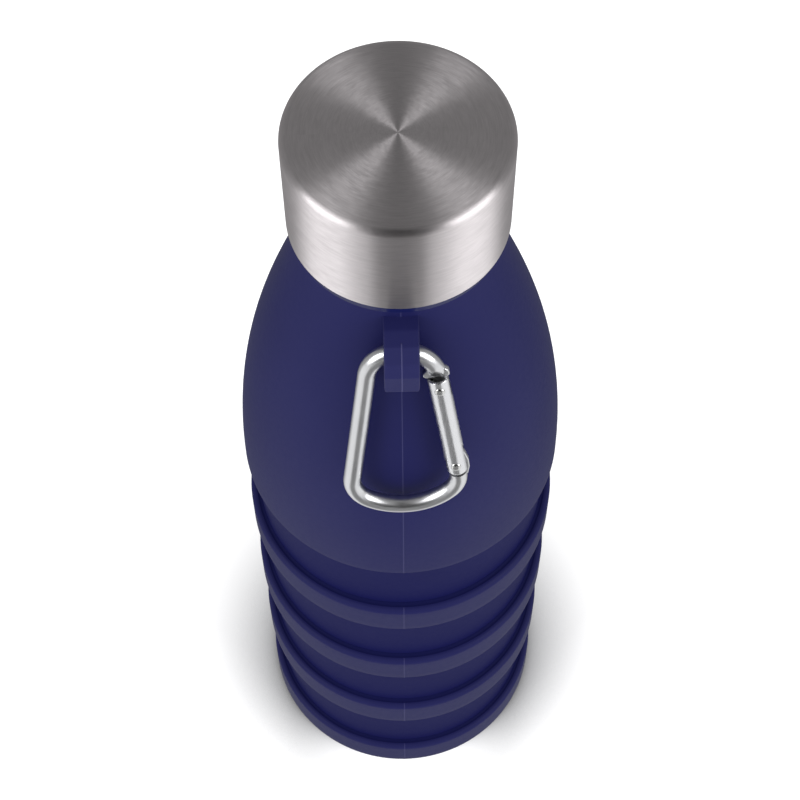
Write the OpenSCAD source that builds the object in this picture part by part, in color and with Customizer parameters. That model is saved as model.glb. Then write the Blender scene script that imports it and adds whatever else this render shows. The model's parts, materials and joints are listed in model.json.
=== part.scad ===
// Folding water bottle: silicone body with three stiff rings and four fold walls,
// screw neck, steel cap and a snap hook that hangs from a moulded loop.
// Millimetres. +Z is up and the origin is the centre of the base, on the floor.
// The loop and the hook are at the front, on the -Y side.

/* [Body] */
// Height of the closed bottle, pulled out
bottle_h = 241; // [238:1:246]
// Outer radius of the rings and the base
ring_r = 35; // [34.8:0.1:36]
// Height of a stiff ring
ring_h = 10; // [8:0.5:11]
// Height from one ring's lower lip to the next
pitch = 32; // [31:0.5:32.5]
// Radial thickness of a ring
ring_t = 3.3; // [2.8:0.1:3.6]
// Radial thickness of a fold wall
web_t = 1.2; // [0.8:0.1:1.4]
// Thickness of the base's floor
floor_t = 2.5; // [2:0.1:3.5]
// Wall thickness of the shoulder
wall_t = 2.3; // [2:0.1:2.6]

/* [Shoulder] */
// Outer radius at the shoulder's lower lip
lip_r = 34.8; // [34.2:0.1:34.8]
// Outer radius at the top of the silicone neck
neck_r = 17.8; // [17.6:0.1:18.2]

/* [Neck and cap] */
// Radius of the mouth
mouth_r = 14; // [12.5:0.5:14.5]
// Outer radius of the plastic neck between its threads
thread_r = 16.6; // [16.4:0.1:16.7]
// Height of a thread's ridge
thread_h = 1.2; // [1:0.1:1.2]
// Rise of the cap in one full turn
thread_lead = 5; // [4.5:0.5:5]
// Outer radius of the cap
cap_r = 20.95; // [20.6:0.05:21]
// Height of the cap
cap_h = 25; // [24:0.5:25]
// Radius of the cap's top edge
cap_edge_r = 1.3; // [0.8:0.1:2]
// Thickness of the cap's steel
steel_t = 0.5; // [0.4:0.05:0.6]
// Thickness of the sealing disc
gasket_t = 1.5; // [1.2:0.1:1.6]

/* [Loop] */
// Width of the moulded loop
loop_w = 6.6; // [6:0.1:7.5]
// Distance of the loop's outer face from the bottle's axis
loop_out = 28.8; // [28.6:0.1:30]
// Radius of the hole through the loop
loop_hole_r = 2.6; // [2.55:0.05:2.8]

/* [Snap hook] */
// Radius of the hook's wire
wire_r = 1.75; // [1.6:0.05:1.75]
// Length of the hook along its middle, from wire centre to wire centre
hook_l = 43; // [42:0.5:44]
// Radius of the top bow
bow_r = 6.6; // [6.5:0.1:7.2]
// Lean of the solid leg, degrees
leg_lean = 6.7; // [6:0.1:7.2]
// Lean of the gate, degrees
gate_lean = 8.8; // [8:0.1:9.4]
// Radius of the gate
gate_r = 2.1; // [2:0.05:2.2]
// Tilt of the whole hook against the shoulder, degrees
hook_tilt = 15.4; // [15.4:0.1:16.4]

/* [Hidden] */
$fn = 96;
silicone = [0.13, 0.14, 0.30];
silicone_dark = [0.10, 0.11, 0.25];
plastic = [0.07, 0.08, 0.22];
clear_plastic = [0.88, 0.88, 0.86];
steel = [0.72, 0.72, 0.71];
bright = [0.85, 0.86, 0.87];

// Silicone body
ring_in = ring_r - ring_t;
ring_edge = 1.2;
web_r = ring_in + web_t;
web_foot_r = ring_r - 1.3;
foot_h = 3.5;
recess_r = 27;
recess_d = 0.8;
shoulder_z = 4 * pitch;
lip_band_h = 6;

// Neck and cap
gap = 0.3;
cap_z = bottle_h - cap_h;
flange_h = 2.2;
flange_r = cap_r - 0.85;
flange_edge = 0.6;
flange_z = cap_z - gap - flange_h;
spigot_r = 16.2;
spigot_z = flange_z - 11;
barb_h = 0.5;
liner_r = cap_r - steel_t - 0.05;
liner_top_t = 2.2;
gasket_gap = 0.1;
neck_top = bottle_h - steel_t - liner_top_t - gasket_t - 2 * gasket_gap;
thread_gap = 0.3;
bore_r = thread_r + thread_h + thread_gap;
thread_base = 2.0;
thread_tip = 1.0;
thread_turns = 1.6;
male_z = flange_z + flange_h + 8;
female_z = male_z - thread_lead / 2;

// Loop
pivot_out = 23.65;
pivot_z = flange_z - 8.65;
loop_top = pivot_z + 4.65;
loop_bottom = pivot_z - 6.6;
loop_edge = 1.0;
loop_bevel = 1.4;

// Snap hook. Its own frame has the top of the bow's middle line at the origin, X across, Y up
// its length and Z out of the bottle. It swings about the middle of the bow's stretch in the loop.
bow_sag = (bow_r - sqrt(pow(bow_r, 2) - pow(loop_w / 2, 2))) / 2;
corner_r_leg = 6.5;
corner_r_gate = 6.0;
foot_r = 13;
foot_x = -0.3;
foot_c = [foot_x, foot_r - hook_l];
bow_c = [0, -bow_r];
leg_out = [-cos(leg_lean), sin(leg_lean)];
leg_down = [-sin(leg_lean), -cos(leg_lean)];
gate_out = [cos(gate_lean), sin(gate_lean)];
gate_down = [sin(gate_lean), -cos(gate_lean)];
leg_top = bow_c + bow_r * leg_out;
gate_top = bow_c + bow_r * gate_out;
leg_corner = corner_centre(leg_top, leg_out, leg_down, corner_r_leg);
gate_corner = corner_centre(gate_top, gate_out, gate_down, corner_r_gate);

// Gate, measured down its middle line from the end of the bow
nose_s = 0.8;
nose_r = 2.35;
gate_s = 1.1;
gate_end_s = 27.6;
latch_s = 3.45;
latch_r = 0.65;
rivet_s = 24.8;
rivet_r = 0.7;
head_r = 1.0;
head_h = 0.25;
tongue_t = 1.3;
slot_t = 1.7;
tongue_s = 21;
slot_s = 19.5;
bore_s = 13;
bore_gate_r = 1.0;
plunger_r = 0.9;
spring_r = 0.72;
spring_wire_r = 0.16;
spring_turns = 7;

function bezier(p, t) = pow(1 - t, 3) * p[0] + 3 * pow(1 - t, 2) * t * p[1]
    + 3 * (1 - t) * t * t * p[2] + pow(t, 3) * p[3];
function bezier_way(p, t) = 3 * pow(1 - t, 2) * (p[1] - p[0]) + 6 * (1 - t) * t * (p[2] - p[1])
    + 3 * t * t * (p[3] - p[2]);
function left_of(v) = [-v[1], v[0]] / norm(v);

// The shoulder's outline runs from the neck down to the lip
SHOULDER = [[neck_r, flange_z], [neck_r + 2.1, flange_z - 14], [lip_r - 0.2, shoulder_z + 48.5],
            [lip_r, shoulder_z]];
STEPS = 22;
function outside(i) = bezier(SHOULDER, i / STEPS);
function inside(i) = outside(i) - wall_t * left_of(bezier_way(SHOULDER, i / STEPS));
inside_pts = [for (i = [0 : STEPS]) if (inside(i)[1] < spigot_z - 3
    && inside(i)[1] > shoulder_z + lip_band_h + 2) inside(i)];

// Centre of the corner that joins a straight leg to the foot's arc
function corner_centre(top, out, down, r) =
    let(p = top - r * out - foot_c, b = p * down, c = p * p - pow(foot_r - r, 2))
    top - r * out + (sqrt(b * b - c) - b) * down;
function angle_of(v) = atan2(v[1], v[0]);

// Solid of revolution of a wall with a rounded upper outer corner
module round_wall(r_in, r_out, z, h, edge) {
    translate([0, 0, z]) rotate_extrude() {
        translate([r_in, 0]) square([r_out - edge - r_in, h]);
        translate([r_in, 0]) square([r_out - r_in, h - edge]);
        translate([r_out - edge, h - edge]) circle(edge);
    }
}

// Helical ridge on a cylinder, with ends that run out. side is 1 outwards and -1 inwards.
module helix_ridge(r, side, z, turns) {
    n = 40 * turns;
    root = r - side * 0.25;
    function grow(i) = min(1, min(i, n - i) / 6);
    function tip(i) = r + side * (thread_h * grow(i) - 0.1 * (1 - grow(i)));
    function pt(radius, a, h) = [radius * cos(a), radius * sin(a), h];
    function ring(i) = let(a = 9 * i, h = z + thread_lead * i / 40)
        [pt(root, a, h - thread_base / 2), pt(tip(i), a, h - thread_tip / 2),
         pt(tip(i), a, h + thread_tip / 2), pt(root, a, h + thread_base / 2)];
    points = [for (i = [0 : n]) each ring(i)];
    function quad(i, k) = let(a = 4 * i + k, b = 4 * i + (k + 1) % 4)
        side > 0 ? [[a, b, b + 4], [a, b + 4, a + 4]] : [[a, b + 4, b], [a, a + 4, b + 4]];
    sides = [for (i = [0 : n - 1]) for (k = [0 : 3]) each quad(i, k)];
    ends = side > 0 ? [[3, 2, 1, 0], [4 * n, 4 * n + 1, 4 * n + 2, 4 * n + 3]]
        : [[0, 1, 2, 3], [4 * n + 3, 4 * n + 2, 4 * n + 1, 4 * n]];
    polyhedron(points, concat(sides, ends));
}

// Silicone body

module band(i) {
    color(silicone) round_wall(ring_in, ring_r, shoulder_z - i * pitch, ring_h, ring_edge);
}

module web(i) {
    z = shoulder_z - i * pitch + ring_h;
    top = pitch - ring_h;
    color(silicone_dark) translate([0, 0, z]) rotate_extrude()
        polygon([[ring_in, 0], [web_foot_r, 0], [web_foot_r - 0.6, 1.3], [web_r, foot_h],
                 [web_r, top], [ring_in, top]]);
}

module base_cup() {
    color(silicone) difference() {
        union() {
            round_wall(ring_in, ring_r, 0, ring_h, ring_edge);
            cylinder(r = ring_in + 1, h = floor_t);
        }
        translate([0, 0, -1]) cylinder(r = recess_r, h = 1 + recess_d);
    }
}

module shoulder_core() {
    rotate_extrude()
        polygon(concat([[0, flange_z]], [for (i = [0 : STEPS]) outside(i)], [[0, shoulder_z]]));
}

module shoulder_hollow() {
    rotate_extrude() polygon(concat([[0, spigot_z], [spigot_r, spigot_z], [spigot_r, spigot_z - 1]],
        inside_pts, [[ring_in, shoulder_z + lip_band_h], [ring_in, shoulder_z - 1],
                     [0, shoulder_z - 1]]));
}

module shoulder() {
    color(silicone) difference() {
        shoulder_core();
        shoulder_hollow();
        spigot();
    }
}

module hanging_loop() {
    reach = loop_out - 21.5;
    color(silicone) difference() {
        translate([-loop_w / 2, 0, 0]) rotate([90, 0, 90]) linear_extrude(loop_w) union() {
            polygon([[-16, loop_top], [-21.5, loop_top], [-21.5 - reach * 0.45, loop_top - 0.7],
                     [-21.5 - reach * 0.82, loop_top - 2.5], [-loop_out, loop_top - 5],
                     [-loop_out, loop_bottom + loop_edge], [-loop_out + loop_edge, loop_bottom],
                     [-16, loop_bottom]]);
            translate([-loop_out + loop_edge, loop_bottom + loop_edge]) circle(loop_edge);
        }
        shoulder_core();
        translate([-loop_w, -pivot_out, pivot_z]) rotate([0, 90, 0])
            cylinder(r = loop_hole_r, h = 2 * loop_w);
        for (side = [-1, 1])
            translate([side * loop_w / 2, -10, loop_bottom]) rotate([90, 45, 0])
                translate([-loop_bevel / sqrt(2), -loop_bevel / sqrt(2), 0])
                    cube([loop_bevel * sqrt(2), loop_bevel * sqrt(2), 30]);
    }
}

// Neck and cap

module spigot() {
    translate([0, 0, spigot_z]) cylinder(r = spigot_r, h = flange_z - spigot_z);
    for (z = [spigot_z + 2, spigot_z + 6])
        translate([0, 0, z]) cylinder(r1 = spigot_r, r2 = spigot_r + barb_h, h = 1.5);
}

module neck_collar() {
    color(plastic) helix_ridge(thread_r, 1, male_z, thread_turns);
    color(plastic) difference() {
        union() {
            spigot();
            round_wall(mouth_r + 1, flange_r, flange_z, flange_h, flange_edge);
            round_wall(mouth_r + 1, thread_r, flange_z, neck_top - flange_z, 0.6);
        }
        translate([0, 0, spigot_z - 1]) cylinder(r = mouth_r, h = neck_top - spigot_z + 2);
    }
}

module cap_gasket() {
    color("gainsboro") translate([0, 0, neck_top + gasket_gap]) difference() {
        cylinder(r = bore_r - 0.3, h = gasket_t);
        translate([0, 0, -0.1]) cylinder(r = mouth_r - 3, h = 0.6);
    }
}

module cap_liner() {
    top = bottle_h - steel_t;
    color(clear_plastic) {
        difference() {
            translate([0, 0, cap_z + 0.4]) cylinder(r = liner_r, h = top - cap_z - 0.45 - cap_edge_r);
            translate([0, 0, cap_z]) cylinder(r = bore_r, h = top - liner_top_t - cap_z);
        }
        translate([0, 0, top - 0.1 - cap_edge_r])
            cylinder(r1 = liner_r, r2 = liner_r - cap_edge_r, h = cap_edge_r);
        helix_ridge(bore_r, -1, female_z, thread_turns);
    }
}

module cap_shell() {
    color(steel) difference() {
        round_wall(0, cap_r, cap_z, cap_h, cap_edge_r);
        translate([0, 0, -1]) round_wall(0, cap_r - steel_t, cap_z, cap_h - steel_t + 1,
                                         cap_edge_r - steel_t / 2);
    }
}

// Snap hook

module hook_place() {
    translate([0, -pivot_out, pivot_z]) rotate([90 - hook_tilt, 0, 0])
        translate([0, bow_sag, 0]) children();
}

// x is across the gate, outwards; y goes up its middle line from the bow's end
module gate_line(s) {
    translate([gate_top[0], gate_top[1], 0]) rotate([0, 0, gate_lean]) translate([0, -s, 0])
        children();
}

// Points along an arc, leaving out its last one
function arc_points(c, r, from, to, n) =
    [for (i = [0 : n - 1]) let(a = from + (to - from) * i / n) c + r * [cos(a), sin(a)]];

// Round wire along a flat path
module wire(path) {
    sides = 16;
    n = len(path);
    function way(i) = path[min(i + 1, n - 1)] - path[max(i - 1, 0)];
    function ring(i) = let(out = left_of(way(i)))
        [for (k = [0 : sides - 1]) let(a = 360 * k / sides)
            [path[i][0] + wire_r * cos(a) * out[0], path[i][1] + wire_r * cos(a) * out[1],
             wire_r * sin(a)]];
    points = [for (i = [0 : n - 1]) each ring(i)];
    function quad(i, k) = let(a = sides * i + k, b = sides * i + (k + 1) % sides)
        [[a, b + sides, b], [a, a + sides, b + sides]];
    walls = [for (i = [0 : n - 2]) for (k = [0 : sides - 1]) each quad(i, k)];
    ends = [[for (k = [0 : sides - 1]) k], [for (k = [1 : sides]) sides * n - k]];
    polyhedron(points, concat(walls, ends));
}

module plate(x0, x1, y0, y1, t) {
    translate([x0, y0, -t / 2]) cube([x1 - x0, y1 - y0, t]);
}

module carabiner_frame() {
    foot_from = angle_of(leg_corner - foot_c);
    foot_to = angle_of(gate_corner - foot_c);
    path = concat(arc_points(bow_c, bow_r, gate_lean, 180 - leg_lean, 20),
        arc_points(leg_corner, corner_r_leg, 180 - leg_lean, 360 + foot_from, 10),
        arc_points(foot_c, foot_r, foot_from, foot_to, 10),
        arc_points(gate_corner, corner_r_gate, foot_to, gate_lean, 8),
        [gate_corner + corner_r_gate * gate_out, gate_top + (gate_end_s + 0.5) * gate_down]);
    color(bright) hook_place() {
        wire(path);
        gate_line(nose_s) rotate([-90, 0, 0]) cylinder(r = nose_r, h = 1.6, $fn = 48);
        gate_line(0) difference() {
            union() {
                plate(-0.9, wire_r, -5.3, -nose_s + 0.3, tongue_t);
                translate([0, -tongue_s, 0]) plate(-0.9, wire_r, tongue_s - gate_end_s - 1, 0,
                                                   tongue_t);
            }
            translate([0, -latch_s, -2]) cylinder(r = latch_r + 0.2, h = 4, $fn = 32);
            plate(-2, 0, -latch_s - latch_r - 0.2, -latch_s + latch_r + 0.2, 4);
            translate([0, -rivet_s, -2]) cylinder(r = rivet_r, h = 4, $fn = 32);
        }
    }
}

module carabiner_gate() {
    color(bright) hook_place() gate_line(0) difference() {
        translate([0, -gate_s, 0]) rotate([90, 0, 0]) {
            cylinder(r = gate_r, h = gate_end_s - gate_s - 0.8, $fn = 48);
            translate([0, 0, gate_end_s - gate_s - 0.8])
                cylinder(r1 = gate_r, r2 = gate_r - 0.7, h = 0.8, $fn = 48);
        }
        plate(-1.2, 3, -6, 0, slot_t);
        plate(-1.2, 3, -gate_end_s - 1, -slot_s, slot_t);
        plate(-3, 0, -gate_end_s - 1, -rivet_s + 0.8, slot_t);
        translate([0, -latch_s, -3]) cylinder(r = latch_r, h = 6, $fn = 32);
        translate([0, -rivet_s, -3]) cylinder(r = rivet_r + 0.08, h = 6, $fn = 32);
        translate([0, -bore_s, 0]) rotate([90, 0, 0])
            cylinder(r = bore_gate_r, h = slot_s - bore_s + 0.1, $fn = 32);
    }
}

module cross_pin(s, r, reach) {
    gate_line(s) {
        translate([0, 0, -reach]) cylinder(r = r, h = 2 * reach, $fn = 32);
        for (z = [reach, -reach - head_h])
            translate([0, 0, z]) cylinder(r = head_r, h = head_h, $fn = 32);
    }
}

module gate_hinge_rivet() {
    color(bright) hook_place() cross_pin(rivet_s, rivet_r, gate_r + 0.03);
}

module gate_latch_pin() {
    color(bright) hook_place() cross_pin(latch_s, latch_r, gate_r);
}

module gate_plunger() {
    color(steel) hook_place() gate_line(0) {
        translate([0, -slot_s + 1.8, 0]) rotate([90, 0, 0])
            cylinder(r = plunger_r, h = 1.6, $fn = 32);
        translate([0, -slot_s + 0.3, 0]) rotate([90, 0, 0]) cylinder(r = 0.7, h = 1.4, $fn = 32);
    }
}

module gate_spring() {
    length = slot_s - bore_s - 2.2;
    n = 10 * spring_turns;
    function centre(i) = [spring_r * cos(36 * i), -bore_s - 0.2 - length * i / n,
                          spring_r * sin(36 * i)];
    function ring(i) = let(c = centre(i), out = [cos(36 * i), 0, sin(36 * i)])
        [for (k = [0 : 5]) c + spring_wire_r * (cos(60 * k) * out + sin(60 * k) * [0, 1, 0])];
    points = [for (i = [0 : n]) each ring(i)];
    function quad(i, k) = let(a = 6 * i + k, b = 6 * i + (k + 1) % 6)
        [[a, b + 6, b], [a, a + 6, b + 6]];
    sides = [for (i = [0 : n - 1]) for (k = [0 : 5]) each quad(i, k)];
    ends = [[0, 1, 2, 3, 4, 5], [for (k = [5 : -1 : 0]) 6 * n + k]];
    color(steel) hook_place() gate_line(0) polyhedron(points, concat(sides, ends));
}

base_cup();
web(4);  // bellows_web_4
band(3);  // bellows_band_3
web(3);  // bellows_web_3
band(2);  // bellows_band_2
web(2);  // bellows_web_2
band(1);  // bellows_band_1
web(1);  // bellows_web_1
shoulder();
hanging_loop();
neck_collar();
cap_gasket();
cap_liner();
cap_shell();
carabiner_frame();
gate_hinge_rivet();
carabiner_gate();
gate_latch_pin();
gate_plunger();
gate_spring();
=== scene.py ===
"""Looks of a folding silicone water bottle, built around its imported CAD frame.

Lengths named here are in metres, and the frame's own: +Z up, the base's centre at the origin,
the loop and the snap hook on the -Y side. MM turns millimetres into metres.
"""
import json
import math
from itertools import product

import bmesh
import bpy
from mathutils import Matrix, Vector
from mathutils.bvhtree import BVHTree


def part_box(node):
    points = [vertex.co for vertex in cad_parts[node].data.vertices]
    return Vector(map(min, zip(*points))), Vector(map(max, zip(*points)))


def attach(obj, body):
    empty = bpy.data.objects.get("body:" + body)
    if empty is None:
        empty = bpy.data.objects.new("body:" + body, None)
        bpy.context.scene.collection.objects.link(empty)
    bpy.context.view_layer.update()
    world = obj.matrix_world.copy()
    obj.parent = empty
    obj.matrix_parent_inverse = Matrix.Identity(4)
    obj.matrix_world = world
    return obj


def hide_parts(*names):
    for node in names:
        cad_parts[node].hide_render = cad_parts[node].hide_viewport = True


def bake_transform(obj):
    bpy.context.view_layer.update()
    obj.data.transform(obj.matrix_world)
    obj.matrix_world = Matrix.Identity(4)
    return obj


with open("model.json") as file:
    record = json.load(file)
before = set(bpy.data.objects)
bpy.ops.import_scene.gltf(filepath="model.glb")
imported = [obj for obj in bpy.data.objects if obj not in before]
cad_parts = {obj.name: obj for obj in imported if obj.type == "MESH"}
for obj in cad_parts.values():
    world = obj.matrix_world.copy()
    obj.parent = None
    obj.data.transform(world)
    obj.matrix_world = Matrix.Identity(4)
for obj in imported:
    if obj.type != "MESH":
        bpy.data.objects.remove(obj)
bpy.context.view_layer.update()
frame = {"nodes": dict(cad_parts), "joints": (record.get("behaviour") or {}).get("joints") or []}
scene = bpy.context.scene
MM = 0.001
FRONT = -90.0
BACK = 90.0


def top_z(node):
    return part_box(node)[1].z


def low_z(node):
    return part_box(node)[0].z


def joint(name):
    return next(j for j in frame["joints"] if j["name"] == name)


# ---------------------------------------------------------------- camera

CAMERA_DISTANCE = 203.7 * MM
CAMERA_HEIGHT = 522.7 * MM
CAMERA_PITCH = 61.825
CAMERA_ROLL = -0.46
CAMERA_AZIMUTH = -0.8
FOCAL_LENGTH = 89.2
SIDEWAYS_SHIFT = -0.0001


def add_camera():
    """The camera stands in front of the bottle, well above it, and looks steeply down."""
    camera = bpy.data.objects.new("camera", bpy.data.cameras.new("camera"))
    scene.collection.objects.link(camera)
    camera.data.lens = FOCAL_LENGTH
    camera.data.sensor_width = 36
    camera.data.shift_x = SIDEWAYS_SHIFT
    camera.data.clip_start = 0.01
    camera.data.clip_end = 20
    turn = Matrix.Rotation(math.radians(CAMERA_AZIMUTH), 4, "Z")
    place = Matrix.Translation((0, -CAMERA_DISTANCE, CAMERA_HEIGHT))
    tilt = Matrix.Rotation(math.radians(90 - CAMERA_PITCH), 4, "X")
    roll = Matrix.Rotation(math.radians(CAMERA_ROLL), 4, "Z")
    camera.matrix_world = turn @ place @ tilt @ roll
    scene.camera = camera


# ---------------------------------------------------------------- node helpers


class Tree:
    """A node tree, with short calls for what the materials and the room below repeat."""

    def __init__(self, tree):
        self.tree = tree
        tree.nodes.clear()

    def add(self, kind, **settings):
        node = self.tree.nodes.new(kind)
        for key, value in settings.items():
            setattr(node, key, value)
        return node

    def link(self, output, socket):
        self.tree.links.new(output, socket)

    def put(self, value, socket):
        """A number or colour is set on the socket, and an output is linked to it."""
        if isinstance(value, bpy.types.NodeSocket):
            self.link(value, socket)
        else:
            socket.default_value = value

    def math(self, operation, *values):
        node = self.add("ShaderNodeMath", operation=operation)
        for i, value in enumerate(values):
            self.put(value, node.inputs[i])
        return node.outputs[0]

    def split(self, vector):
        node = self.add("ShaderNodeSeparateXYZ")
        self.link(vector, node.inputs[0])
        return node.outputs

    def join(self, *values):
        node = self.add("ShaderNodeCombineXYZ")
        for i, value in enumerate(values):
            self.put(value, node.inputs[i])
        return node.outputs[0]

    def noise(self, vector, scale, detail=2.0, roughness=0.5):
        node = self.add("ShaderNodeTexNoise")
        self.link(vector, node.inputs["Vector"])
        node.inputs["Scale"].default_value = scale
        node.inputs["Detail"].default_value = detail
        node.inputs["Roughness"].default_value = roughness
        return node.outputs["Fac"]

    def spread(self, value, low, high, start=0.0, end=1.0, soft=False):
        """value's stretch from start to end becomes the stretch from low to high."""
        node = self.add("ShaderNodeMapRange", interpolation_type="SMOOTHSTEP" if soft else "LINEAR")
        for key, number in (("From Min", start), ("From Max", end), ("To Min", low), ("To Max", high)):
            node.inputs[key].default_value = number
        self.link(value, node.inputs["Value"])
        return node.outputs[0]

    def mix(self, factor, a, b):
        node = self.add("ShaderNodeMix", data_type="RGBA")
        self.put(factor, node.inputs[0])
        self.put(a, node.inputs[6])
        self.put(b, node.inputs[7])
        return node.outputs[2]

    def mix_light(self, factor, a, b):
        node = self.add("ShaderNodeMix", data_type="FLOAT")
        for i, value in enumerate((factor, a, b)):
            self.put(value, node.inputs[(0, 2, 3)[i]])
        return node.outputs[0]

    def bump(self, height, strength, distance):
        node = self.add("ShaderNodeBump")
        node.inputs["Strength"].default_value = strength
        node.inputs["Distance"].default_value = distance
        self.link(height, node.inputs["Height"])
        return node.outputs[0]


class Nodes(Tree):
    """A material with one Principled shader."""

    def __init__(self, name):
        self.material = bpy.data.materials.new(name)
        self.material.use_nodes = True
        super().__init__(self.material.node_tree)
        self.shader = self.add("ShaderNodeBsdfPrincipled")
        output = self.add("ShaderNodeOutputMaterial")
        self.link(self.shader.outputs[0], output.inputs["Surface"])

    def set(self, **values):
        for key, value in values.items():
            self.put(value, self.shader.inputs[key.replace("_", " ")])

    def place(self):
        """Where a point is on the object, in metres."""
        return self.add("ShaderNodeTexCoord").outputs["Object"]


# ---------------------------------------------------------------- materials


def silicone_material(name, shine, dark, light):
    """Matt moulded silicone: fine mould grain, faint clouding, and a painted highlight along the raised
    line of flash.
    """
    n = Nodes(name)
    place = n.place()
    cloud = n.noise(place, 45, 3)
    grain = n.noise(place, 5200, 2, 0.6)
    flash = n.add("ShaderNodeAttribute", attribute_name="flash").outputs["Fac"]
    navy = n.mix(cloud, dark, light)
    # Painted highlight: the colour is pushed paler along the flash, where its ridge catches the light.
    n.set(Base_Color=n.mix(n.math("MULTIPLY", flash, 0.3), navy, (0.10, 0.10, 0.22, 1)))
    n.set(Roughness=n.spread(n.noise(place, 900, 3), 0.50, 0.60))
    n.set(Normal=n.bump(grain, 0.25, 0.00006))
    n.set(IOR=1.42)
    n.set(Specular_IOR_Level=shine)
    return n.material


def collar_material():
    """Glossy navy polypropylene."""
    n = Nodes("navy_gloss_plastic")
    place = n.place()
    waves = n.noise(place, 60, 2)
    n.set(Base_Color=n.mix(waves, (0.004, 0.006, 0.045, 1), (0.006, 0.008, 0.055, 1)))
    n.set(Roughness=n.spread(n.noise(place, 700, 3), 0.18, 0.26))
    n.set(Specular_IOR_Level=0.15)
    n.set(Normal=n.bump(waves, 0.1, 0.0004))
    n.set(IOR=1.49)
    return n.material


def round_brushing(n):
    """Noise drawn out into lines that run round the Z axis: fine ones and coarser ones."""
    x, y, z = n.split(n.place())
    angle = n.math("ARCTAN2", y, x)
    radius = n.math("SQRT", n.math("ADD", n.math("MULTIPLY", x, x), n.math("MULTIPLY", y, y)))
    across = n.math("ADD", radius, z)
    fine_place = n.join(n.math("MULTIPLY", angle, 3.0), n.math("MULTIPLY", across, 5200), 0.0)
    coarse_place = n.join(n.math("MULTIPLY", angle, 6.0), n.math("MULTIPLY", across, 1500), 1.7)
    return n.noise(fine_place, 1, 4, 0.7), n.noise(coarse_place, 1, 3, 0.6)


def cap_steel_material():
    """Brushed stainless steel, brushed round the axis on its side and top."""
    n = Nodes("brushed_cap_steel")
    fine, coarse = round_brushing(n)
    both = n.math("ADD", n.math("MULTIPLY", fine, 0.6), n.math("MULTIPLY", coarse, 0.4))
    shade = n.spread(both, 0.0, 1.0, 0.3, 0.7)
    n.set(Base_Color=n.mix(shade, (0.50, 0.472, 0.480, 1), (0.68, 0.645, 0.655, 1)))
    n.set(Metallic=1.0)
    n.set(Roughness=n.spread(both, 0.38, 0.52, 0.3, 0.7))
    n.set(Anisotropic=0.90)
    n.set(Anisotropic_Rotation=0.25)
    n.set(Normal=n.bump(both, 0.35, 0.00002))
    n.set(Tangent=n.add("ShaderNodeTangent", direction_type="RADIAL", axis="Z").outputs[0])
    return n.material


def hook_material():
    """Bright polished aluminium with small scuffs."""
    n = Nodes("polished_aluminium")
    place = n.place()
    scuffs = n.noise(place, 2600, 4, 0.7)
    patches = n.noise(place, 260, 3)
    n.set(Base_Color=n.mix(patches, (0.60, 0.605, 0.62, 1), (0.68, 0.685, 0.70, 1)))
    n.set(Metallic=1.0)
    n.set(Roughness=n.spread(n.math("MULTIPLY", scuffs, patches), 0.27, 0.38, 0.1, 0.5))
    n.set(Normal=n.bump(scuffs, 0.05, 0.00002))
    return n.material


def gate_material():
    """Aluminium tube, satin from drawing along its length."""
    n = Nodes("satin_aluminium")
    x, y, z = n.split(n.place())
    drawn = [n.math("MULTIPLY", value, factor) for value, factor in ((x, 5200), (y, 900), (z, 120))]
    lines = n.noise(n.join(*drawn), 1, 3)
    n.set(Base_Color=n.mix(lines, (0.65, 0.655, 0.675, 1), (0.75, 0.755, 0.775, 1)))
    n.set(Metallic=1.0)
    n.set(Roughness=n.spread(lines, 0.20, 0.34, 0.3, 0.7))
    n.set(Normal=n.bump(lines, 0.15, 0.00002))
    return n.material


def pin_material():
    """Bright steel of the small pins, with fine turning marks."""
    n = Nodes("bright_pin_steel")
    marks = n.noise(n.place(), 4200, 3)
    n.set(Base_Color=n.mix(marks, (0.55, 0.55, 0.55, 1), (0.72, 0.72, 0.71, 1)))
    n.set(Metallic=1.0)
    n.set(Roughness=n.spread(marks, 0.16, 0.30))
    n.set(Normal=n.bump(marks, 0.1, 0.00002))
    return n.material


def liner_material():
    """Natural polypropylene of the cap's liner."""
    n = Nodes("natural_liner_plastic")
    mottling = n.noise(n.place(), 300, 3)
    n.set(Base_Color=n.mix(mottling, (0.72, 0.72, 0.69, 1), (0.80, 0.80, 0.77, 1)))
    n.set(Roughness=n.spread(mottling, 0.38, 0.48))
    n.set(Normal=n.bump(mottling, 0.1, 0.0001))
    n.set(Subsurface_Weight=0.15)
    n.set(Subsurface_Scale=0.002)
    return n.material


def seal_material():
    """Translucent white silicone of the sealing disc."""
    n = Nodes("white_seal_silicone")
    mottling = n.noise(n.place(), 500, 3)
    n.set(Base_Color=n.mix(mottling, (0.78, 0.78, 0.76, 1), (0.85, 0.85, 0.83, 1)))
    n.set(Roughness=n.spread(mottling, 0.48, 0.58))
    n.set(Normal=n.bump(mottling, 0.1, 0.00005))
    n.set(Subsurface_Weight=0.2)
    n.set(Subsurface_Scale=0.001)
    return n.material


# ---------------------------------------------------------------- mesh helpers


def make_object(name, points, faces, material, smooth=True):
    mesh = bpy.data.meshes.new(name)
    mesh.from_pydata([tuple(p) for p in points], [], faces)
    mesh.polygons.foreach_set("use_smooth", [smooth] * len(faces))
    mesh.materials.append(material)
    mesh.update()
    piece = bpy.data.objects.new(name, mesh)
    scene.collection.objects.link(piece)
    return piece


def arc(centre, radius, start, end, steps):
    """Points round a centre, from one angle to another, both ends included."""
    angles = [math.radians(start + (end - start) * i / steps) for i in range(steps + 1)]
    return [(centre[0] + radius * math.cos(a), centre[1] + radius * math.sin(a)) for a in angles]


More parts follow.
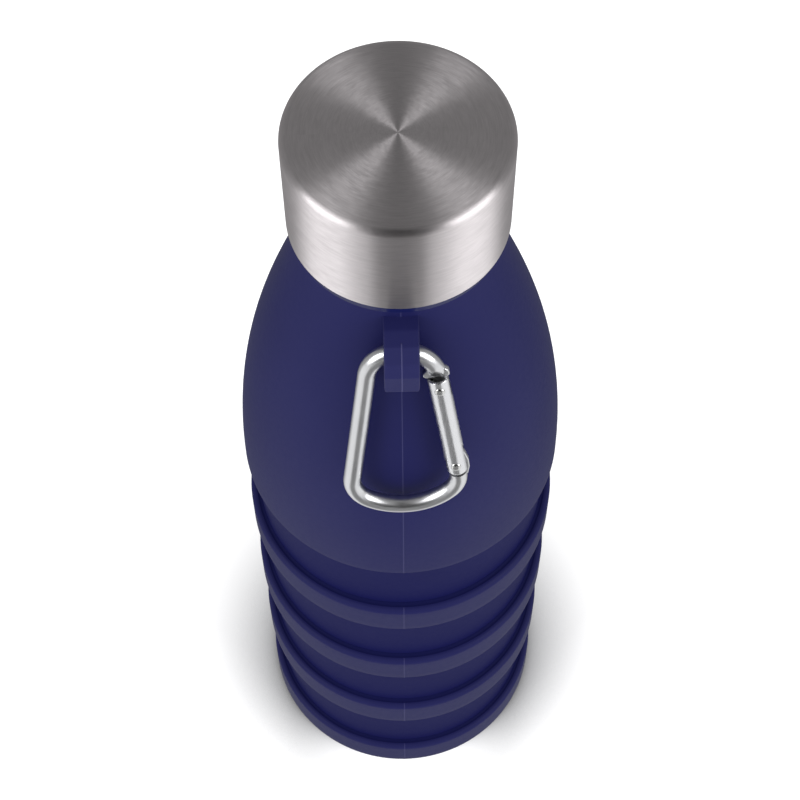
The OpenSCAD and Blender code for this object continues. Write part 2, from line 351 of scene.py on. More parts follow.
def sharpen(piece, angle):
    """Edges sharper than angle show as edges, and the rest is smooth."""
    mesh = piece.data
    mesh.update()
    bm = bmesh.new()
    bm.from_mesh(mesh)
    for edge in bm.edges:
        if len(edge.link_faces) == 2 and edge.calc_face_angle(0) > math.radians(angle):
            edge.smooth = False
    bm.to_mesh(mesh)
    bm.free()


# Angles round the bottle. Close to each mould seam there are columns at fixed distances
# from it, and the middle one stands proud by the flash.
COLUMNS = 144
FLASH_HALF = 0.14 * MM
FLASH_FOOT = 0.45 * MM
LEAST_TURN_R = 2 * MM


def turn_columns(seams=True):
    """The columns of a turned piece: angle, distance from the seam, and share of the flash."""
    step = 360.0 / COLUMNS
    columns = []
    for i in range(COLUMNS):
        angle = -180 + i * step
        if not seams or min(abs(angle - FRONT), abs(angle - BACK)) > step / 2:
            columns.append((angle, 0.0, 0.0))
        else:
            columns += [(angle, offset, 0) for offset in (-FLASH_FOOT, -FLASH_HALF)]
            columns.append((angle, 0, 1))
            columns += [(angle, offset, 0) for offset in (FLASH_HALF, FLASH_FOOT)]
    return columns


def lathe(name, outline, materials, seams=False):
    """Solid turned round the Z axis. outline is a list of (radius, height) or (radius, height,
    flash, kind), anticlockwise in its own plane. It is closed, or starts and ends on the axis.
    kind is the number of the material."""
    columns = turn_columns(seams)
    outline = [p if len(p) > 2 else (*p, 0.0, 0) for p in outline]
    on_axis = [p[0] < 1e-7 for p in outline]
    points, index, flashes = [], {}, []
    for j, (r, z, flash, _) in enumerate(outline):
        for k, (angle, offset, lift) in enumerate(columns):
            if on_axis[j] and k:
                index[k, j] = index[0, j]
                continue
            a = math.radians(angle) + offset / max(r, LEAST_TURN_R)
            rr = r + lift * flash
            index[k, j] = len(points)
            points.append((rr * math.cos(a), rr * math.sin(a), z))
            flashes.append(1.0 if lift and flash else 0.0)
    closed = not (on_axis[0] and on_axis[-1])
    faces, kinds = [], []
    rows = len(outline)
    for k in range(len(columns)):
        right = (k + 1) % len(columns)
        for j in range(rows if closed else rows - 1):
            up = (j + 1) % rows
            face = [index[k, j], index[right, j], index[right, up], index[k, up]]
            face = [v for i, v in enumerate(face) if v != face[i - 1]]
            if len(face) > 2:
                faces.append(face)
                kinds.append(min(outline[j][3], outline[up][3]))
    piece = make_object(name, points, faces, materials[0])
    for extra in materials[1:]:
        piece.data.materials.append(extra)
    piece.data.polygons.foreach_set("material_index", kinds)
    if seams:
        piece.data.attributes.new("flash", "FLOAT", "POINT").data.foreach_set("value", flashes)
    return piece


def with_flash(points, height, kind=0):
    """The outline's points with the flash's height there and the number of their material."""
    return [(r, z, height, kind) for r, z in points]


# ---------------------------------------------------------------- silicone body

RING_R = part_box("bellows_band_1")[1].x
RING_IN = RING_R - 3.3 * MM
LIP_EDGE = 0.45 * MM
CROWN = 1.35 * MM
RING_H = 10.1 * MM
FILLET = 0.9 * MM
WALL_R = RING_R - CROWN - FILLET
FLASH = 0.10 * MM
TUCK = 0.3 * MM
WALL_ROWS = 12
# The places of the three silicone materials in the list: the satin finish, the dull finish darkened with
# painted shade, and the painted shade of the creases.
SATIN, MATT_SHADED, GROOVE_SHADE = 0, 1, 2


def ring_side(lip_z, top, edge=LIP_EDGE):
    """Outer side of a ring and of the fold wall above it, from the lip's edge upwards."""
    crown_z = lip_z + RING_H - CROWN
    side = arc((RING_R - edge, lip_z + edge), edge, -90, 0, 6)
    side += [(RING_R, lip_z + edge + (crown_z - lip_z - edge) * i / 4) for i in range(1, 4)]
    side += arc((RING_R - CROWN, crown_z), CROWN, 0, 88, 10)
    # The concave foot under the wall gets the painted shade of the crease.
    foot = arc((WALL_R + FILLET, lip_z + RING_H + FILLET), FILLET, 268, 180, 8)
    wall_z = lip_z + RING_H + FILLET
    # The fold wall has a dull finish, and a darker colour that is painted shade under the lip above it.
    wall = [(WALL_R, wall_z + (top - wall_z) * i / WALL_ROWS) for i in range(1, WALL_ROWS + 1)]
    return with_flash(side, FLASH, SATIN) + with_flash(foot, 0.0, GROOVE_SHADE) + with_flash(wall, 0.0, MATT_SHADED)


def inner_side(floor_z, top):
    """Points down the inside of a ring and its wall."""
    return [(RING_IN, floor_z + (top - floor_z) * i / WALL_ROWS) for i in range(WALL_ROWS - 1, 0, -1)]


def ring_unit(number, materials):
    """A stiff ring with the fold wall above it."""
    lip_z = low_z(f"bellows_band_{number}")
    top = top_z(f"bellows_web_{number}") + TUCK
    outline = [(RING_IN, lip_z)] + ring_side(lip_z, top) + [(RING_IN, top)] + inner_side(lip_z, top)
    unit = lathe(f"silicone_ring_{number}", outline, materials, seams=True)
    fold_between(unit)
    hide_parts(f"bellows_band_{number}", f"bellows_web_{number}")


def fold_between(unit):
    """The unit's placement is baked into its mesh."""
    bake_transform(unit)


BASE_EDGE = 0.9 * MM
RECESS_R = 27 * MM
RECESS_D = 0.8 * MM
FLOOR_T = 2.5 * MM
FLOOR_FILLET = 1.5 * MM


def base_unit(materials):
    """The foot ring with its floor, and the lowest fold wall."""
    top = top_z("bellows_web_4") + TUCK
    under = [(0, RECESS_D), (RECESS_R * 0.5, RECESS_D), (RECESS_R - 0.6 * MM, RECESS_D)]
    under += [(RECESS_R, RECESS_D * 0.6), (RECESS_R + 0.5 * MM, 0), (RING_R - BASE_EDGE * 1.5, 0)]
    outline = under + ring_side(0, top, BASE_EDGE) + [(RING_IN, top)] + inner_side(FLOOR_T, top)
    outline += arc((RING_IN - FLOOR_FILLET, FLOOR_T + FLOOR_FILLET), FLOOR_FILLET, 0, -90, 5)
    outline += [(RING_R * 0.5, FLOOR_T), (0, FLOOR_T)]
    unit = lathe("silicone_base", outline, materials, seams=True)
    fold_between(unit)
    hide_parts("base_cup", "bellows_web_4")


NECK_R = 17.8 * MM
NECK_IN = 16.25 * MM
SHOULDER_WALL = 2.3 * MM
SPIGOT_L = 11 * MM
LIP_BAND = 6 * MM
SHOULDER_EDGE = 0.5 * MM
SHOULDER_STEPS = 72
NECK_FLARE = 2.1 * MM
NECK_RUN = 14 * MM
LIP_FLARE = 0.2 * MM
LIP_RUN = 48.5 * MM


def bezier(p, t):
    """The point at t on a cubic curve with four control points."""
    s = 1 - t
    weights = (s ** 3, 3 * s * s * t, 3 * s * t * t, t ** 3)
    return tuple(sum(w * q[i] for w, q in zip(weights, p)) for i in (0, 1))


def shoulder_curve():
    """Control points of the shoulder's side, from the neck down to the lip."""
    low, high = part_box("shoulder")
    lip_r = high.x
    return [(NECK_R, high.z), (NECK_R + NECK_FLARE, high.z - NECK_RUN),
            (lip_r - LIP_FLARE, low.z + LIP_RUN), (lip_r, low.z)]


def shoulder_unit(material):
    """The tapering shoulder, hollow, with its lower lip and the neck that holds the collar."""
    curve = shoulder_curve()
    low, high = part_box("shoulder")
    edge, steps = SHOULDER_EDGE, SHOULDER_STEPS
    line = [bezier(curve, i / steps) for i in range(steps + 1)]
    lip = arc((high.x - edge, low.z + edge), edge, -90, 0, 6)
    outer = lip + [p for p in line[::-1] if p[1] > low.z + 2 * edge]
    inner = []
    for p, q in zip(line, line[1:]):
        way = Vector((q[0] - p[0], q[1] - p[1])).normalized()
        inside = (p[0] + way.y * SHOULDER_WALL, p[1] - way.x * SHOULDER_WALL)
        if low.z + LIP_BAND + 2 * MM < inside[1] < high.z - SPIGOT_L - 3 * MM:
            inner.append(inside)
    outline = [(RING_IN, low.z)] + with_flash(outer, FLASH) + [(NECK_IN, high.z)]
    outline += [(NECK_IN, high.z - SPIGOT_L)] + inner + [(RING_IN, low.z + LIP_BAND)]
    unit = lathe("silicone_shoulder", outline, [material], seams=True)
    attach(unit, "upper")
    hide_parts("shoulder")


# ---------------------------------------------------------------- hanging loop

LOOP_BEVEL = 0.7 * MM
LOOP_HOLE_R = 2.6 * MM
LOOP_GRID = 0.2 * MM
LOOP_CORNER = 2.2 * MM
LOOP_ROOT = 16.5 * MM
LOOP_TOP_END = 21.5 * MM
LOOP_FOOT_EDGE = 1.0 * MM
# The loop's rounded top: share of the way out, and drop in mm.
LOOP_SLOPE = ((0, 0), (0.45, 0.7), (0.82, 2.5), (1, 5))
# The flash line on the loop: from near its top, down over its outer face, in degrees.
SEAM_STEPS = 60
SEAM_FROM = 86
SEAM_TURN = 156


def hanging_loop(material):
    """The moulded loop: a plate in the bottle's middle plane with a round hole."""
    low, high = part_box("hanging_loop")
    pivot = Vector(joint("hook_swing")["pos_m"])
    out = -low.y
    slope = out - LOOP_TOP_END
    top, bottom = high.z, low.z
    side = [(-LOOP_ROOT, top)]
    side += [(-LOOP_TOP_END - slope * share, top - drop * MM) for share, drop in LOOP_SLOPE]
    side += [(-out, bottom + LOOP_FOOT_EDGE), (-out + LOOP_FOOT_EDGE, bottom), (-LOOP_ROOT, bottom)]
    hole = arc((pivot.y, pivot.z), LOOP_HOLE_R, 0, 360, 48)[:-1]
    loop = flat_plate("silicone_loop", (side, hole), high.x, material)
    weld_and_bevel(loop, LOOP_BEVEL)
    fine = loop.modifiers.new("fine", "REMESH")
    fine.mode = "VOXEL"
    fine.voxel_size = LOOP_GRID
    even = loop.modifiers.new("even", "SMOOTH")
    even.factor = 0.5
    even.iterations = 4
    apply_modifiers(loop)
    round_lower_corners(loop, high.x, bottom)
    smooth_all(loop)
    loop.data.update()
    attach(loop, "upper")
    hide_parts("hanging_loop")
    loop_flash(loop, pivot, material)


def flat_plate(name, outlines, half, material):
    """A plate in the YZ plane, as far as half to both sides. Inner outlines are holes."""
    curve = bpy.data.curves.new("loop_outline", "CURVE")
    curve.dimensions = "2D"
    curve.fill_mode = "BOTH"
    for points in outlines:
        spline = curve.splines.new("POLY")
        spline.points.add(len(points) - 1)
        for point, (y, z) in zip(spline.points, points):
            point.co = (y, z, 0, 1)
        spline.use_cyclic_u = True
    curve.extrude = half
    blank = bpy.data.objects.new("loop_blank", curve)
    scene.collection.objects.link(blank)
    blank.matrix_world = Matrix(((0, 0, 1, 0), (1, 0, 0, 0), (0, 1, 0, 0), (0, 0, 0, 1)))
    bpy.context.view_layer.update()
    mesh = bpy.data.meshes.new_from_object(blank)
    mesh.transform(blank.matrix_world)
    bpy.data.objects.remove(blank)
    mesh.materials.clear()
    mesh.materials.append(material)
    plate = bpy.data.objects.new(name, mesh)
    scene.collection.objects.link(plate)
    return plate


def round_lower_corners(loop, half, bottom):
    """The hook's gate passes close under the loop, so its lower corners are well rounded."""
    for vertex in loop.data.vertices:
        x, _, z = vertex.co
        inset = Vector((LOOP_CORNER - (half - abs(x)), LOOP_CORNER - (z - bottom)))
        if min(inset) > 0 and inset.length > LOOP_CORNER:
            extra = inset * (1 - LOOP_CORNER / inset.length)
            vertex.co.x -= math.copysign(extra.x, x)
            vertex.co.z += extra.y


def loop_flash(loop, pivot, material):
    """The mould's flash line runs down the middle of the loop's outer face."""
    tree = BVHTree.FromObject(loop, bpy.context.evaluated_depsgraph_get())
    points, faces = [], []
    for i in range(SEAM_STEPS + 1):
        angle = math.radians(SEAM_FROM - SEAM_TURN * i / SEAM_STEPS)
        way = Vector((0, -math.cos(angle), math.sin(angle)))
        hit, normal = tree.ray_cast(pivot + way * 20 * MM, -way)[:2]
        if hit is None:
            continue
        sunk = hit - normal * FLASH * 0.5
        aside = Vector((FLASH_HALF * 1.4, 0, 0))
        points += [sunk - aside, hit + normal * FLASH * 0.8, sunk + aside]
    for i in range(len(points) // 3 - 1):
        for k in range(3):
            a, b = 3 * i + k, 3 * i + (k + 1) % 3
            faces.append((a, b, b + 3, a + 3))
    faces += [(0, 2, 1), tuple(range(len(points) - 3, len(points)))]
    line = make_object("loop_seam", points, faces, material)
    # The whole strip is marked as flash, so it takes the painted highlight.
    flash = line.data.attributes.new("flash", "FLOAT", "POINT")
    flash.data.foreach_set("value", [1.0] * len(points))
    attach(line, "upper")


def apply_modifiers(piece):
    """The piece's mesh becomes what its modifiers make of it."""
    bpy.context.view_layer.update()
    done = bpy.data.meshes.new_from_object(piece.evaluated_get(bpy.context.evaluated_depsgraph_get()))
    piece.modifiers.clear()
    piece.data = done


def smooth_all(piece):
    """Every face of the piece is shaded smooth."""
    piece.data.polygons.foreach_set("use_smooth", [True] * len(piece.data.polygons))


def weld_and_bevel(piece, width):
    """Points that coincide become one, and sharp edges are rounded to width."""
    weld = piece.modifiers.new("weld", "WELD")
    weld.merge_threshold = 0.00001
    bevel = piece.modifiers.new("bevel", "BEVEL")
    bevel.width = width
    bevel.segments = 4
    bevel.limit_method = "ANGLE"
    bevel.angle_limit = math.radians(30)
    bevel.harden_normals = False
    apply_modifiers(piece)
    smooth_all(piece)
    sharpen(piece, 40)


# ---------------------------------------------------------------- cap

CAP_FILLET = 1.5 * MM
CAP_CROWN = 0.25 * MM
STEEL = 0.5 * MM
RIM_EDGE = 0.25 * MM


def cap_shell(material):
    """The drawn steel cap: a slightly crowned top, a rolled edge and a rounded lower rim."""
    low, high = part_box("cap_shell")
    r = high.x
    flat_r = r - CAP_FILLET
    shoulder_z = high.z - CAP_CROWN
    across = (0, 0.04, 0.1, 0.2, 0.35, 0.5, 0.65, 0.8, 0.92)
    outline = [(flat_r * k, high.z - CAP_CROWN * k * k) for k in across]
    outline += arc((flat_r, shoulder_z - CAP_FILLET), CAP_FILLET, 88, 0, 14)
    side_z = shoulder_z - CAP_FILLET
    outline += [(r, low.z + (side_z - low.z) * k) for k in (0.97, 0.75, 0.5, 0.25)]
    outline += arc((r - RIM_EDGE, low.z + RIM_EDGE), RIM_EDGE, 0, -180, 8)
    inner = r - STEEL
    outline += arc((inner - CAP_FILLET, side_z - STEEL), CAP_FILLET, 0, 88, 6)
    outline += [(inner * 0.5, shoulder_z - STEEL), (0, shoulder_z - STEEL)]
    shell = lathe("steel_cap", outline[::-1], [material])
    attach(shell, "cap")
    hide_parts("cap_shell")


# ---------------------------------------------------------------- snap hook

WIRE_R = 1.75 * MM
HOOK_L = 43 * MM
BOW_R = 6.6 * MM
LEG_LEAN = 6.7
GATE_LEAN = 8.8
LEG_CORNER = 6.5 * MM
GATE_CORNER = 6.0 * MM
FOOT_R = 13 * MM
FOOT_X = -0.3 * MM
GATE_R = 2.1 * MM
GATE_S = 1.1 * MM
STAMPED_STEPS = 5
STAMPED_WIDER = 0.12
STAMPED_THINNER = 0.45
GATE_END_S = 27.6 * MM
LATCH_S = 3.45 * MM
RIVET_S = 24.8 * MM


def hook_place():
    """From the hook's flat plane (x across, y up its length, z outwards) to the frame."""
    pivot = Vector(joint("hook_swing")["pos_m"])
    outwards = Vector(joint("gate_swing")["axis"])
    across = Vector((1, 0, 0))
    up = outwards.cross(across)
    turn = Matrix((across, up, outwards)).transposed().to_4x4()
    half_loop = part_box("hanging_loop")[1].x
    bow_sag = (BOW_R - math.sqrt(BOW_R ** 2 - half_loop ** 2)) / 2
    return Matrix.Translation(pivot + up * bow_sag) @ turn


def flat(x, y):
    return Vector((x, y))


def corner_centre(top, out, down, radius, foot):
    """Centre of the corner between a straight side, which starts at top and runs down, and the
    foot's arc about its own centre."""
    p = top - radius * out - foot
    b = p.dot(down)
    c = p.dot(p) - (FOOT_R - radius) ** 2
    return top - radius * out + (math.sqrt(b * b - c) - b) * down


def angle_of(v):
    return math.degrees(math.atan2(v.y, v.x))


def hook_path():
    """Middle line of the bent wire, from the nose over the bow to the gate's hinge."""
    leg, lean = math.radians(LEG_LEAN), math.radians(GATE_LEAN)
    leg_out, leg_down = flat(-math.cos(leg), math.sin(leg)), flat(-math.sin(leg), -math.cos(leg))
    gate_out, gate_down = flat(math.cos(lean), math.sin(lean)), flat(math.sin(lean), -math.cos(lean))
    bow, foot = flat(0, -BOW_R), flat(FOOT_X, FOOT_R - HOOK_L)
    gate_top = bow + BOW_R * gate_out
    left = corner_centre(bow + BOW_R * leg_out, leg_out, leg_down, LEG_CORNER, foot)
    right = corner_centre(gate_top, gate_out, gate_down, GATE_CORNER, foot)
    foot_from, foot_to = angle_of(left - foot), angle_of(right - foot)
    path = arc(bow, BOW_R, GATE_LEAN, 180 - LEG_LEAN, 48)
    start, end = Vector(path[-1]), left + LEG_CORNER * leg_out
    path += [tuple(start.lerp(end, i / 12)) for i in range(1, 12)]
    path += arc(left, LEG_CORNER, 180 - LEG_LEAN, 360 + foot_from, 24)
    path += arc(foot, FOOT_R, foot_from, foot_to, 24)[1:]
    path += arc(right, GATE_CORNER, foot_to, GATE_LEAN, 20)[1:]
    path += [tuple(gate_top + (GATE_END_S + 0.5 * MM) * gate_down)]
    return path, gate_top


def sweep(path, radius, sides, place):
    """Points and faces of a round wire along a flat path, with closed ends. The wire's first
    end is stamped flat."""
    points, faces = [], []
    last = len(path) - 1
    for i, (x, y) in enumerate(path):
        a, b = path[max(i - 1, 0)], path[min(i + 1, last)]
        way = Vector((b[0] - a[0], b[1] - a[1])).normalized()
        stamped = max(0.0, 1 - i / STAMPED_STEPS)
        wide = radius * (1 + STAMPED_WIDER * stamped)
        thick = radius * (1 - STAMPED_THINNER * stamped)
        for k in range(sides):
            t = 2 * math.pi * k / sides
            across = wide * math.cos(t)
            points.append(place @ Vector((x - way.y * across, y + way.x * across, thick * math.sin(t))))
    for i in range(last):
        for k in range(sides):
            a, b = sides * i + k, sides * i + (k + 1) % sides
            faces.append((a, b, b + sides, a + sides))
    faces.append(tuple(range(sides))[::-1])
    faces.append(tuple(range(sides * last, sides * (last + 1))))
    return points, faces


def gate_line(place, gate_top):
    """From the gate's own line (x out of the hook, z up its middle) to the frame."""
    shift = Matrix.Translation((gate_top.x, gate_top.y, 0))
    lean = Matrix.Rotation(math.radians(GATE_LEAN), 4, "Z")
    return place @ shift @ lean @ Matrix.Rotation(math.radians(-90), 4, "X")


def turned(name, outline, material, place, columns=48):
    """A small turned part: outline of (radius, height) from axis to axis, set in place."""
    points, faces = [], []
    rows = len(outline)
    for r, h in outline:
        for k in range(columns):
            t = 2 * math.pi * k / columns
            points.append(place @ Vector((r * math.cos(t), r * math.sin(t), h)))
    for j in range(rows - 1):
        for k in range(columns):
            right = (k + 1) % columns
            row, up = columns * j, columns * (j + 1)
            faces.append((row + k, row + right, up + right, up + k))
    piece = make_object(name, points, faces, material)
    weld = piece.modifiers.new("weld", "WELD")
    weld.merge_threshold = 0.000001
    apply_modifiers(piece)
    return piece


def stamped_plate(name, outline, thickness, edge, material, line):
    """A flat part in the hook's plane with rounded edges. outline is a list of (x, height)."""
    count = len(outline)
    half = thickness / 2
    points = [line @ Vector((x, side * half, h)) for side in (-1, 1) for x, h in outline]
    faces = [tuple(range(count)), tuple(range(2 * count - 1, count - 1, -1))]
    faces += [(i, i + count, (i + 1) % count + count, (i + 1) % count) for i in range(count)]
    piece = make_object(name, points, faces, material)
    outward(piece)
    bevel = piece.modifiers.new("bevel", "BEVEL")
    bevel.width = edge
    bevel.segments = 3
    apply_modifiers(piece)
    smooth_all(piece)
    sharpen(piece, 35)
    return piece


def outward(piece):
    """All faces of a closed piece are turned outwards."""
    bm = bmesh.new()
    bm.from_mesh(piece.data)
    bmesh.ops.recalc_face_normals(bm, faces=bm.faces)
    bm.to_mesh(piece.data)
    bm.free()


def cut(piece, low, high, line):
    """A box, given in the gate's own line, is cut out of the piece."""
    points = [line @ Vector(corner) for corner in product(*zip(low, high))]
    faces = [(0, 1, 3, 2), (4, 6, 7, 5), (0, 4, 5, 1), (2, 3, 7, 6), (0, 2, 6, 4), (1, 5, 7, 3)]
    cutter = make_object("cutter", points, faces, piece.data.materials[0], False)
    outward(cutter)
    slot = piece.modifiers.new("slot", "BOOLEAN")
    slot.object = cutter
    slot.operation = "DIFFERENCE"
    slot.solver = "EXACT"
    apply_modifiers(piece)
    bpy.data.objects.remove(cutter)


def domed_pin(name, s, material, line, body, node):
    """A cross pin with a low domed head at each end, just proud of the gate's tube."""
    turn = line @ Matrix.Translation((0, 0, -s)) @ Matrix.Rotation(math.radians(90), 4, "X")
    reach = GATE_R - 0.12 * MM
    shaft, head, dome = 0.62 * MM, 1.0 * MM, 0.42 * MM
    flank = [(0, reach + dome)]
    for angle in (15, 30, 45, 60, 75, 88):
        a = math.radians(angle)
        flank.append((head * math.sin(a), reach + dome * math.cos(a)))
    flank += [(head, reach - 0.1 * MM), (shaft, reach - 0.1 * MM)]
    outline = [(r, -h) for r, h in flank] + flank[::-1]
    pin = turned(name, outline, material, turn, 32)
    outward(pin)
    sharpen(pin, 50)
    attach(pin, body)
    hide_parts(node)


TUBE_BORE = 1.5 * MM
TUBE_WELL = 4.6 * MM
TUBE_EDGE = 0.22 * MM
TUBE_CORNER = 0.8 * MM
SLOT_HALF = 0.85 * MM
SLOT_IN = 1.2 * MM
SLOT_OUT = 3 * MM
NOSE_SLOT_S = 6 * MM
TONGUE_SLOT_S = 19.5 * MM
HINGE_SLOT_S = 24 * MM


def gate_tube(material, line):
    """The gate: a tube that is open at its top, slotted for the nose and for the hinge's tongue."""
    e = TUBE_EDGE
    top, end = -GATE_S, -GATE_END_S
    past = end - 1 * MM
    outline = [(0, top - TUBE_WELL), (TUBE_BORE, top - TUBE_WELL), (TUBE_BORE, top - e)]
    outline += arc((TUBE_BORE + e, top - e), e, 180, 90, 4)[1:]
    outline += arc((GATE_R - e, top - e), e, 90, 0, 4)
    outline += [(GATE_R, top + (end - top) * k) for k in (0.25, 0.5, 0.75)]
    outline += arc((GATE_R - TUBE_CORNER, end + TUBE_CORNER), TUBE_CORNER, 0, -90, 6)
    outline += [(GATE_R - 1.2 * MM, end), (0, end)]
    tube = turned("gate_tube", outline, material, line)
    outward(tube)
    cut(tube, (-SLOT_IN, -SLOT_HALF, -NOSE_SLOT_S), (SLOT_OUT, SLOT_HALF, 0), line)
    cut(tube, (-SLOT_IN, -SLOT_HALF, past), (SLOT_OUT, SLOT_HALF, -TONGUE_SLOT_S), line)
    cut(tube, (-SLOT_OUT, -SLOT_HALF, past), (0, SLOT_HALF, -HINGE_SLOT_S), line)
    smooth_all(tube)
    sharpen(tube, 30)
    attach(tube, "gate")
    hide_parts("carabiner_gate")


def in_mm(points):
    return [(x * MM, y * MM) for x, y in points]


# In the gate's line: x out of the hook, then the height along the gate.
NOSE_OUTLINE = in_mm([(-1.7, 1.3), (-2.3, 0.9), (-2.65, 0.3), (-2.65, -0.35), (-2.2, -0.75),
                      (-0.9, -0.8), (-0.9, -2.5), (0, -2.65), (0, -4.25), (-0.9, -4.4),
                      (-0.9, -5.3), (1.5, -5.3), (1.6, -0.8), (2.1, -0.7), (2.4, -0.3),
                      (2.4, 0.4), (2.1, 0.9), (1.7, 1.3)])
TONGUE_OUTLINE = in_mm([(-0.9, -21.3), (1.3, -21.0), (2.1, -22.6), (2.55, -24.6),
                        (2.5, -26.6), (1.9, -28.6), (-0.9, -28.6)])
NOSE_T = 1.5 * MM
NOSE_EDGE = 0.3 * MM
TONGUE_T = 1.3 * MM
TONGUE_EDGE = 0.2 * MM


def snap_hook(material, gate_finish, pin_finish):
    """The bent wire with its nose and tongue, the gate, its latch pin and its rivet."""
    place = hook_place()
    path, gate_top = hook_path()
    line = gate_line(place, gate_top)
    wire = make_object("hook_wire", *sweep(path, WIRE_R, 40, place), material)
    outward(wire)
    sharpen(wire, 50)
    nose = stamped_plate("hook_nose", NOSE_OUTLINE, NOSE_T, NOSE_EDGE, material, line)
    tongue = stamped_plate("hook_tongue", TONGUE_OUTLINE, TONGUE_T, TONGUE_EDGE, material, line)
    for part in (wire, nose, tongue):
        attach(part, "hook")
    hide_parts("carabiner_frame")
    gate_tube(gate_finish, line)
    domed_pin("latch_pin", LATCH_S, pin_finish, line, "gate", "gate_latch_pin")
    domed_pin("hinge_rivet", RIVET_S, pin_finish, line, "hook", "gate_hinge_rivet")


# ---------------------------------------------------------------- lights and floor


def area_light(name, place, aim, width, height, power):
    """A rectangular lamp at place, turned towards aim."""
    light = bpy.data.objects.new(name, bpy.data.lights.new(name, "AREA"))
    scene.collection.objects.link(light)
    light.data.shape = "RECTANGLE"
    light.data.size = width
    light.data.size_y = height
    light.data.energy = power
    way = Vector(aim) - Vector(place)
    light.matrix_world = Matrix.Translation(place) @ way.to_track_quat("-Z", "Y").to_matrix().to_4x4()


BOX_SIDE = 0.69
BOX_FRONT = -0.38
BOX_HEIGHT = 0.60
BOX_SIZE = (0.6, 0.45)
BOX_AIM = (0, 0, 0.15)
SIDE_POWER = 5.2
HORIZON = 0.50
OVERHEAD = 0.32
FRONT_WEDGE = 0.0
WEDGE_SPREAD = 1.9
AMBIENT = 1.13
ROOM_UP = -0.68
ROOM_SIDE = 0.35
ROOM_BACK = -0.35
FLOOR_LIGHT = 1.55
FLOOR_SHINE = (1.05, 0.36)
SHINE_FRONT_Y = -0.10
SHINE_BACK_Y = 0.07
CARD_SHINE = 0.27
CARD_NEAR = 0.125
CARD_FAR = 2.0
CARD_SPREAD = 0.42
FLOOR_LIFT = 0.34
SHADE_REACH = 0.026
SHADE_FRONT = 0.2
SHADE_SIDE = 1.6
FLOOR_WHITE = 0.95
BLACK_CLOTH = 0.02


def studio():
    """Two soft boxes at the sides of a pale room."""
    for side in (-1, 1):
        place = (side * BOX_SIDE, BOX_FRONT, BOX_HEIGHT)
        area_light(f"side_box_{side + 1}", place, BOX_AIM, *BOX_SIZE, SIDE_POWER)
    scene.view_settings.view_transform = "Standard"
    world = bpy.data.worlds.new("studio")
    scene.world = world
    world.use_nodes = True
    world.cycles.sampling_method = "NONE"
    n = Tree(world.node_tree)
    rays = n.add("ShaderNodeLightPath").outputs
    x, y, z = n.split(n.add("ShaderNodeTexCoord").outputs["Generated"])
    wide = n.math("ABSOLUTE", x)
    seen = n.mix_light(rays["Is Diffuse Ray"], room_reflections(n, wide, y, z), room_light(n, wide, y, z))
    shown = n.mix_light(rays["Is Camera Ray"], seen, 1.0)
    background = n.add("ShaderNodeBackground")
    n.link(shown, background.inputs["Strength"])
    n.link(background.outputs[0], n.add("ShaderNodeOutputWorld").inputs["Surface"])


def room_reflections(n, wide, y, z):
    """What shiny surfaces see: walls that darken overhead, and a dark wedge in front, where the
    camera and its stand are."""
    walls = n.spread(z, HORIZON, OVERHEAD, 0.05, 0.75, True)
    front = n.math("SUBTRACT", n.math("MULTIPLY", y, -1.0), n.math("MULTIPLY", wide, WEDGE_SPREAD))
    return n.mix_light(n.spread(front, 0.0, 1.0, -0.15, 0.20, True), walls, FRONT_WEDGE)


def room_light(n, wide, y, z):
    """The soft light of the room: strongest from below, then from the sides and the front, and
    weakest from overhead."""
    level = n.math("ADD", n.math("MULTIPLY", z, ROOM_UP), n.math("MULTIPLY", wide, ROOM_SIDE))
    level = n.math("ADD", level, n.math("MULTIPLY", y, ROOM_BACK))
    return n.math("MULTIPLY", n.math("ADD", level, 1.0), AMBIENT)


FLOOR_HALF = 4.0


def stage_sheet(name, corners, glow, albedo, seen):
    """A flat sheet of the studio. seen lists the kinds of ray that meet it, and glow is one
    brightness, or one in front of the bottle and one behind it."""
    n = Nodes(name)
    speckle = n.noise(n.place(), 40, 2)
    shade = contact_shade(n) if "camera" in seen else 1.0
    bright = n.math("MULTIPLY", shade, n.spread(speckle, 0.985, 1.0))
    n.set(Base_Color=n.mix(bright, (0, 0, 0, 1), (albedo, albedo, albedo, 1)))
    n.set(Roughness=0.9)
    n.set(Specular_IOR_Level=0.0)
    n.set(Emission_Color=(1, 1, 1, 1))
    if isinstance(glow, tuple):
        glow = n.spread(n.split(n.place())[1], *glow, SHINE_FRONT_Y, SHINE_BACK_Y, True)
    n.set(Emission_Strength=n.math("MULTIPLY", shade, glow))
    sheet = make_object(name, corners, [(0, 1, 2, 3)], n.material, False)
    sheet.visible_camera = "camera" in seen
    sheet.visible_diffuse = "diffuse" in seen
    sheet.visible_glossy = "glossy" in seen
    sheet.visible_transmission = "camera" in seen
    sheet.visible_shadow = "camera" in seen


def contact_shade(n):
    """The small soft shadow where the base meets the floor, strongest at the bottle's sides."""
    near = n.add("ShaderNodeAmbientOcclusion", samples=16)
    near.inputs["Distance"].default_value = SHADE_REACH
    x = n.math("ABSOLUTE", n.split(n.place())[0])
    depth = n.spread(x, SHADE_FRONT, SHADE_SIDE, 0.010, 0.032, True)
    dark = n.math("SUBTRACT", 1.0, near.outputs["AO"])
    return n.math("SUBTRACT", 1.0, n.math("MULTIPLY", dark, depth))


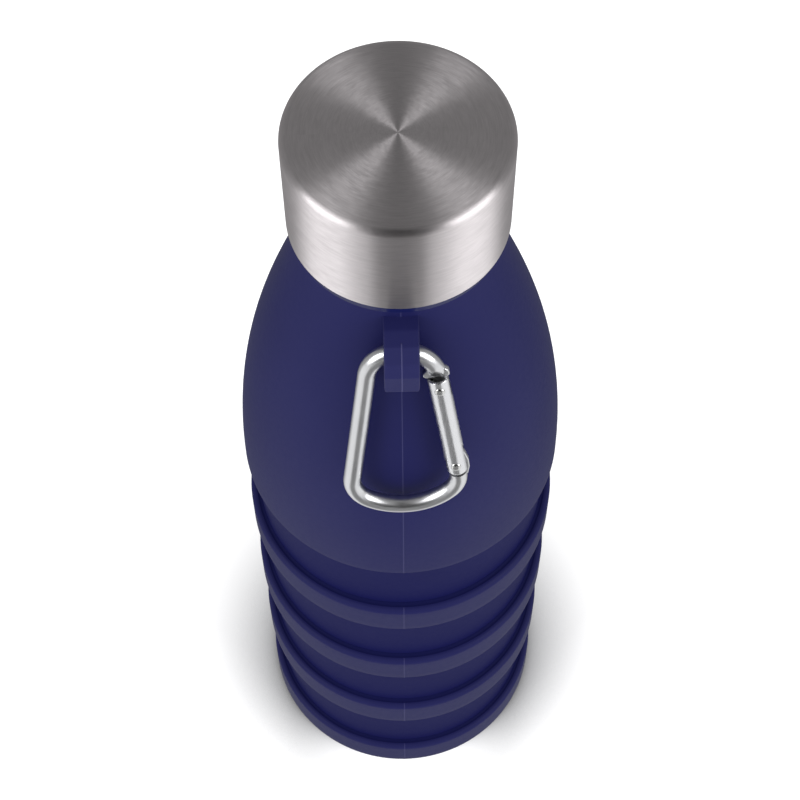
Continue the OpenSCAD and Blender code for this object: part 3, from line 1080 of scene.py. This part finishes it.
def floor():
    """The pale floor that the camera sees, the floor that lights the bottle, and the floor that
    it reflects: bright in front and dimmer behind, with a darker card straight ahead."""
    h = FLOOR_HALF
    square = [(-h, -h, 0), (h, -h, 0), (h, h, 0), (-h, h, 0)]
    stage_sheet("floor", square, FLOOR_LIFT, FLOOR_WHITE, ("camera",))
    for kind, glow, depth in (("diffuse", FLOOR_LIGHT, 0.002), ("glossy", FLOOR_SHINE, 0.003)):
        sunk = [(x, y, -depth) for x, y, _ in square]
        stage_sheet(f"floor_{kind}", sunk, glow, BLACK_CLOTH, (kind,))
    card = [(CARD_NEAR * CARD_SPREAD, -CARD_NEAR, -MM), (-CARD_NEAR * CARD_SPREAD, -CARD_NEAR, -MM),
            (-CARD_FAR * CARD_SPREAD, -CARD_FAR, -MM), (CARD_FAR * CARD_SPREAD, -CARD_FAR, -MM)]
    stage_sheet("dark_card", card, CARD_SHINE, BLACK_CLOTH, ("glossy",))


# ---------------------------------------------------------------- the whole


def dress(node, material):
    """A CAD node keeps its shape and gets a finished material."""
    piece = frame["nodes"][node]
    piece.data.materials.clear()
    piece.data.materials.append(material)


add_camera()
studio()
floor()

satin = silicone_material("navy_silicone", 0.11,
                          (0.0080, 0.0086, 0.057, 1), (0.0098, 0.0106, 0.065, 1))
# The fold wall's silicone: less shine, and a darker colour that is painted shade under the lips.
matt_shaded = silicone_material("navy_fold_silicone_painted_shade", 0.035,
                         (0.0054, 0.0060, 0.049, 1), (0.0067, 0.0074, 0.056, 1))
# Painted shade: a darker copy of the silicone for the crease at the foot of each fold wall.
groove_shade = silicone_material("navy_silicone_painted_groove_shade", 0.03,
                           (0.0036, 0.0042, 0.034, 1), (0.0045, 0.0052, 0.039, 1))
finishes_and_shades = [satin, matt_shaded, groove_shade]
base_unit(finishes_and_shades)
for number, above in ((3, "ring_2"), (2, "ring_1"), (1, "upper")):
    ring_unit(number, finishes_and_shades)
shoulder_unit(satin)
# The loop is shinier, and its colour is painted a little paler, as painted light on the face that catches
# the light.
hanging_loop(silicone_material("navy_loop_silicone_painted_light", 0.24,
                               (0.0088, 0.0095, 0.062, 1), (0.0108, 0.0116, 0.071, 1)))
cap_shell(cap_steel_material())
pin_finish = pin_material()
snap_hook(hook_material(), gate_material(), pin_finish)
dress("neck_collar", collar_material())
dress("cap_gasket", seal_material())
dress("cap_liner", liner_material())
dress("gate_plunger", pin_finish)
dress("gate_spring", pin_finish)
